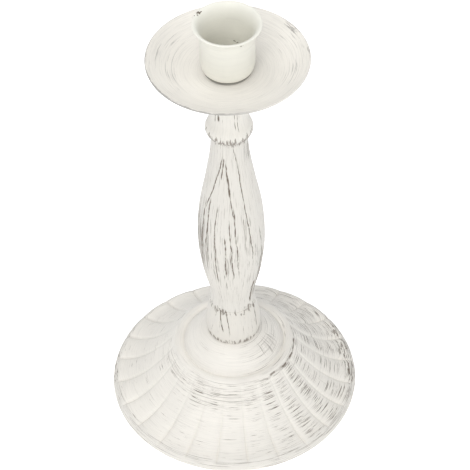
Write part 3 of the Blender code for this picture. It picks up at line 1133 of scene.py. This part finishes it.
brushed = work(tree, "MULTIPLY_ADD", speckle(tree, faint_space, 1.0, 2.0, 0.6), 0.3, 0.33)
# Painted shade: the cup's inside is toned a little grey.
painted_shade_inside = smooth_step(tree, place["Radius"], cup_radius - 0.0002, cup_radius - 0.0007)
lay_paint(
    tree,
    shader,
    point,
    brushed,
    0.0,
    chips,
    work(tree, "MULTIPLY", painted_shade_inside, 0.03),
    sheen=0.40,
    depth=0.00006,
    Cream=(0.865, 0.852, 0.778, 1.0),
)
for piece in (cup, spacer):
    piece.data.materials.append(cup_paint)

# --- Rod, nuts and washers --------------------------------------------------------------------
# An M6 rod runs through everything, with rings at its ends in place of threads. A washer and a
# thin nut hold it in the cup; a washer, a split lock washer and a nut pull it tight in the foot.
# All are zinc-plated steel.
zinc, tree, shader, point, place = start_paint("zinc_plate")
turning = speckle(
    tree,
    combined(tree, 0.0, 0.0, work(tree, "SUBTRACT", place["Radius"], place["Height"])),
    2600.0,
    3.0,
)
spots = speckle(tree, point, 420.0, 4.0, 0.6)
feed(
    tree,
    shader.inputs["Base Color"],
    blend_colour(
        tree,
        smooth_step(tree, spots, 0.35, 0.7),
        (0.66, 0.66, 0.64, 1.0),
        (0.50, 0.50, 0.49, 1.0),
    ),
)
feed(tree, shader.inputs["Roughness"], smooth_step(tree, spots, 0.3, 0.75, 0.28, 0.46))
shader.inputs["Metallic"].default_value = 1.0
bump = tree.nodes.new("ShaderNodeBump")
bump.inputs["Strength"].default_value = 0.5
bump.inputs["Distance"].default_value = 0.00003
feed(tree, bump.inputs["Height"], turning)
feed(tree, shader.inputs["Normal"], bump.outputs["Normal"])


def eased_disc(node, hole, reach):
    """The outline of a flat ring as wide and thick as its CAD node, with eased edges."""
    low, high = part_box(node)
    outer = high.x
    corners = [(hole, low.z), (outer, low.z), (outer, high.z), (hole, high.z)]
    outline = []
    for before, corner, after in zip(corners[-1:] + corners, corners, corners[1:] + corners[:1]):
        outline += round_corner(before, corner, after, reach, 3)
    return outline


for node in ("cup_washer", "foot_washer"):
    washer = finish_piece(
        spin_shape(eased_disc(node, rod_hole, 0.00015), 96),
        "plated_" + node,
        node,
    )
    washer.data.materials.append(zinc)

slit_half_width = 0.00045
slit_reach = slit_half_width + 0.00001
lock_shape = spin_shape(eased_disc("foot_lock_washer", rod_hole, 0.00015), 96)
for side in (1.0, -1.0):
    for point_in_slit in lock_shape.verts:
        in_slit = abs(point_in_slit.co.y) < slit_reach and point_in_slit.co.x > 0.0
        if in_slit and point_in_slit.co.y * side >= 0.0:
            point_in_slit.co.y = slit_half_width * side
slit_faces = [
    face
    for face in lock_shape.faces
    if all(abs(spot.co.y) < slit_reach and spot.co.x > 0.0 for spot in face.verts)
]
bmesh.ops.delete(lock_shape, geom=slit_faces, context="FACES")
bmesh.ops.holes_fill(lock_shape, edges=lock_shape.edges, sides=0)
bmesh.ops.recalc_face_normals(lock_shape, faces=lock_shape.faces)
lock_washer = finish_piece(
    lock_shape, "plated_lock_washer", "foot_lock_washer"
)
lock_washer.data.materials.append(zinc)


nut_across_flats = 0.0100


def hexagon_nut(node):
    """A turned blank with coned ends, planed to six flats, so the cones leave curved corners."""
    low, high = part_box(node)
    corner_radius = nut_across_flats / math.sqrt(3)
    cone_height = 0.0004
    cone_width = 0.0007
    thread_ease = 0.0003
    shape = spin_shape(
        [
            (rod_hole, low.z),
            (corner_radius - cone_width, low.z),
            (corner_radius, low.z + cone_height),
            (corner_radius, high.z - cone_height),
            (corner_radius - cone_width, high.z),
            (rod_hole, high.z),
            (rod_hole - thread_ease, high.z - thread_ease),
            (rod_hole - thread_ease, low.z + thread_ease),
        ],
        96,
    )
    for side in range(6):
        turn = math.radians(60 * side + 30)
        outward = Vector((math.cos(turn), math.sin(turn), 0.0))
        cut = bmesh.ops.bisect_plane(
            shape,
            geom=shape.verts[:] + shape.edges[:] + shape.faces[:],
            dist=1e-6,
            plane_co=outward * (nut_across_flats / 2),
            plane_no=outward,
            clear_outer=True,
        )
        rim = [edge for edge in cut["geom_cut"] if isinstance(edge, bmesh.types.BMEdge)]
        bmesh.ops.holes_fill(shape, edges=rim, sides=0)
    bmesh.ops.recalc_face_normals(shape, faces=shape.faces)
    return finish_piece(shape, "plated_" + node, node, 20.0)


for node in ("cup_nut", "foot_nut"):
    hexagon_nut(node).data.materials.append(zinc)

rod_low, rod_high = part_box("tie_rod")
rod_radius = 0.0030
thread_depth = 0.00045
thread_pitch = 0.0010
thread_turns = 9
thread_start = 0.0004
rod_end_radius = rod_radius - 0.0005
rod_outline = [(0.0, rod_low.z), (rod_end_radius, rod_low.z)]
for start, direction in ((rod_low.z, 1.0), (rod_high.z, -1.0)):
    turns = [
        [
            (rod_radius, start + direction * (thread_start + thread_pitch * i)),
            (
                rod_radius - thread_depth,
                start + direction * (thread_start + thread_pitch * (i + 0.5)),
            ),
        ]
        for i in range(thread_turns)
    ]
    ridge = [spot for pair in turns for spot in pair]
    ridge.append((rod_radius, start + direction * (thread_start + thread_pitch * thread_turns)))
    rod_outline += ridge if direction > 0 else ridge[::-1]
rod_outline += [(rod_end_radius, rod_high.z), (0.0, rod_high.z)]
rod = finish_piece(
    spin_shape(rod_outline, 64), "plated_rod", "tie_rod", 40.0
)
rod.data.materials.append(zinc)
